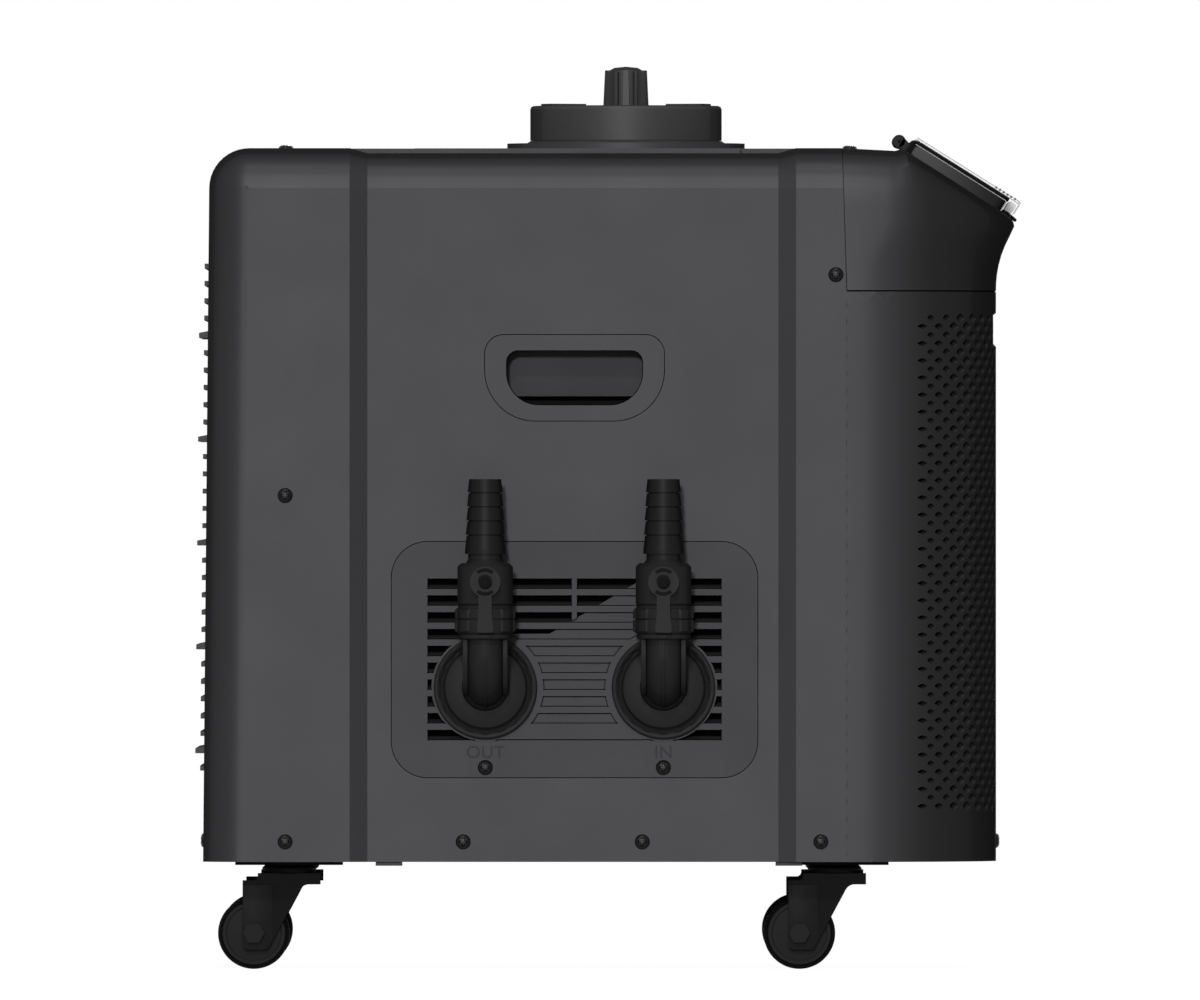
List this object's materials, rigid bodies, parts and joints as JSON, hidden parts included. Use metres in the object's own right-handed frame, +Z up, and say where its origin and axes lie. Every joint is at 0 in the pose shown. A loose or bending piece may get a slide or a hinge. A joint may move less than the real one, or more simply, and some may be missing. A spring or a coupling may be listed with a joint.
{
  "type": "portable water chiller",
  "caption": "Upright water chiller on swivel casters, with two valved hose ports, a lidded water filter, a sloped control unit under a clear cover, vents and hand holds.",
  "frame": {"origin": "on the floor under the middle of the cabinet", "axes": "+X towards the grille end, -Y towards the side with the water ports, +Z up"},
  "size_m": [0.5759, 0.4627, 0.6306],
  "materials": {
    "cabinet_grey": "fine satin grain",
    "front_black": "fine satin grain",
    "pan_steel": "powder coat",
    "black_steel": "black coat, satin",
    "wheel_rubber": "matte",
    "axle_steel": "zinc plated",
    "fitting_plastic": "moulded satin",
    "ball_plastic": "polished",
    "filter_plastic": "moulded satin",
    "seal_rubber": "matte",
    "cartridge_fabric": "pleated",
    "touch_glass": "polished",
    "clear_plastic": "clear",
    "coil_aluminium": "plain",
    "compressor_black": "gloss enamel",
    "exchanger_plastic": "moulded",
    "pipe_plastic": "moulded",
    "copper": "drawn copper"
  },
  "bodies": {
    "cabinet": {"cabinet_shell": "cabinet_grey", "rear_louvre_panel": "cabinet_grey", "port_panel": "cabinet_grey", "handle_cup_valve_side": "cabinet_grey", "handle_cup_plain_side": "cabinet_grey", "hood": "front_black", "front_grille": "front_black", "base_pan": "pan_steel", "cabinet_screws": "black_steel", "caster_plates": "black_steel", "outlet_disc": "fitting_plastic", "outlet_elbow": "fitting_plastic", "outlet_union_nut": "fitting_plastic", "outlet_valve_body": "fitting_plastic", "outlet_hose_barb": "fitting_plastic", "inlet_disc": "fitting_plastic", "inlet_elbow": "fitting_plastic", "inlet_union_nut": "fitting_plastic", "inlet_valve_body": "fitting_plastic", "inlet_hose_barb": "fitting_plastic", "filter_bowl": "filter_plastic", "filter_cartridge": "cartridge_fabric", "display_box": "filter_plastic", "display_panel": "touch_glass", "display_gasket": "seal_rubber", "cover_pin": "axle_steel", "condenser": "coil_aluminium", "fan_shroud": "pan_steel", "fan_motor": "black_steel", "compressor": "compressor_black", "compressor_grommets": "seal_rubber", "heat_exchanger": "exchanger_plastic", "water_pump": "filter_plastic", "water_pipes": "pipe_plastic", "filter_drier": "copper", "refrigerant_pipes": "copper", "electrics_box": "filter_plastic", "power_inlet": "filter_plastic"},
    "outlet_valve": {"outlet_valve_ball": "ball_plastic", "outlet_valve_lever": "fitting_plastic"},
    "inlet_valve": {"inlet_valve_ball": "ball_plastic", "inlet_valve_lever": "fitting_plastic"},
    "filter_lid": {"filter_lid": "filter_plastic", "filter_seal": "seal_rubber"},
    "filter_knob": {"filter_knob": "filter_plastic"},
    "cover": {"clear_cover": "clear_plastic"},
    "fan": {"fan_rotor": "filter_plastic"},
    "caster_swivel_rear_valve_side": {"caster_fork_rear_valve_side": "black_steel", "caster_axle_rear_valve_side": "axle_steel"},
    "caster_wheel_rear_valve_side": {"caster_wheel_rear_valve_side": "wheel_rubber"},
    "caster_swivel_rear_plain_side": {"caster_fork_rear_plain_side": "black_steel", "caster_axle_rear_plain_side": "axle_steel"},
    "caster_wheel_rear_plain_side": {"caster_wheel_rear_plain_side": "wheel_rubber"},
    "caster_swivel_front_valve_side": {"caster_fork_front_valve_side": "black_steel", "caster_axle_front_valve_side": "axle_steel"},
    "caster_wheel_front_valve_side": {"caster_wheel_front_valve_side": "wheel_rubber"},
    "caster_swivel_front_plain_side": {"caster_fork_front_plain_side": "black_steel", "caster_axle_front_plain_side": "axle_steel"},
    "caster_wheel_front_plain_side": {"caster_wheel_front_plain_side": "wheel_rubber"}
  },
  "joints": [
    {"name": "outlet_valve_turn", "type": "hinge", "parent": "cabinet", "child": "outlet_valve", "pos_m": [-0.0798, -0.2325, 0.26995], "axis": [0, 1, 0], "range_deg": [0, 90]},
    {"name": "inlet_valve_turn", "type": "hinge", "parent": "cabinet", "child": "inlet_valve", "pos_m": [0.0441, -0.2325, 0.26995], "axis": [0, 1, 0], "range_deg": [0, 90]},
    {"name": "filter_lid_lift", "type": "slide", "parent": "cabinet", "child": "filter_lid", "axis": [0, 0, 1], "range_m": [0, 0.06]},
    {"name": "filter_knob_turn", "type": "hinge", "parent": "filter_lid", "child": "filter_knob", "pos_m": [0.0182, 0, 0.61], "axis": [0, 0, 1], "range_deg": [-180, 180]},
    {"name": "cover_hinge", "type": "hinge", "parent": "cabinet", "child": "cover", "pos_m": [0.20931, 0, 0.57788], "axis": [0, -1, 0], "range_deg": [0, 110]},
    {"name": "fan_spin", "type": "hinge", "parent": "cabinet", "child": "fan", "pos_m": [0.2, 0, 0.2455], "axis": [1, 0, 0], "continuous": true},
    {"name": "swivel_rear_valve_side", "type": "hinge", "parent": "cabinet", "child": "caster_swivel_rear_valve_side", "pos_m": [-0.2167, -0.145, 0.07], "axis": [0, 0, 1], "continuous": true},
    {"name": "roll_rear_valve_side", "type": "hinge", "parent": "caster_swivel_rear_valve_side", "child": "caster_wheel_rear_valve_side", "pos_m": [-0.2413, -0.145, 0.025], "axis": [0, 1, 0], "continuous": true},
    {"name": "swivel_rear_plain_side", "type": "hinge", "parent": "cabinet", "child": "caster_swivel_rear_plain_side", "pos_m": [-0.2167, 0.145, 0.07], "axis": [0, 0, 1], "continuous": true},
    {"name": "roll_rear_plain_side", "type": "hinge", "parent": "caster_swivel_rear_plain_side", "child": "caster_wheel_rear_plain_side", "pos_m": [-0.2413, 0.145, 0.025], "axis": [0, 1, 0], "continuous": true},
    {"name": "swivel_front_valve_side", "type": "hinge", "parent": "cabinet", "child": "caster_swivel_front_valve_side", "pos_m": [0.1636, -0.145, 0.07], "axis": [0, 0, 1], "continuous": true},
    {"name": "roll_front_valve_side", "type": "hinge", "parent": "caster_swivel_front_valve_side", "child": "caster_wheel_front_valve_side", "pos_m": [0.139, -0.145, 0.025], "axis": [0, 1, 0], "continuous": true},
    {"name": "swivel_front_plain_side", "type": "hinge", "parent": "cabinet", "child": "caster_swivel_front_plain_side", "pos_m": [0.1636, 0.145, 0.07], "axis": [0, 0, 1], "continuous": true},
    {"name": "roll_front_plain_side", "type": "hinge", "parent": "caster_swivel_front_plain_side", "child": "caster_wheel_front_plain_side", "pos_m": [0.139, 0.145, 0.025], "axis": [0, 1, 0], "continuous": true}
  ]
}
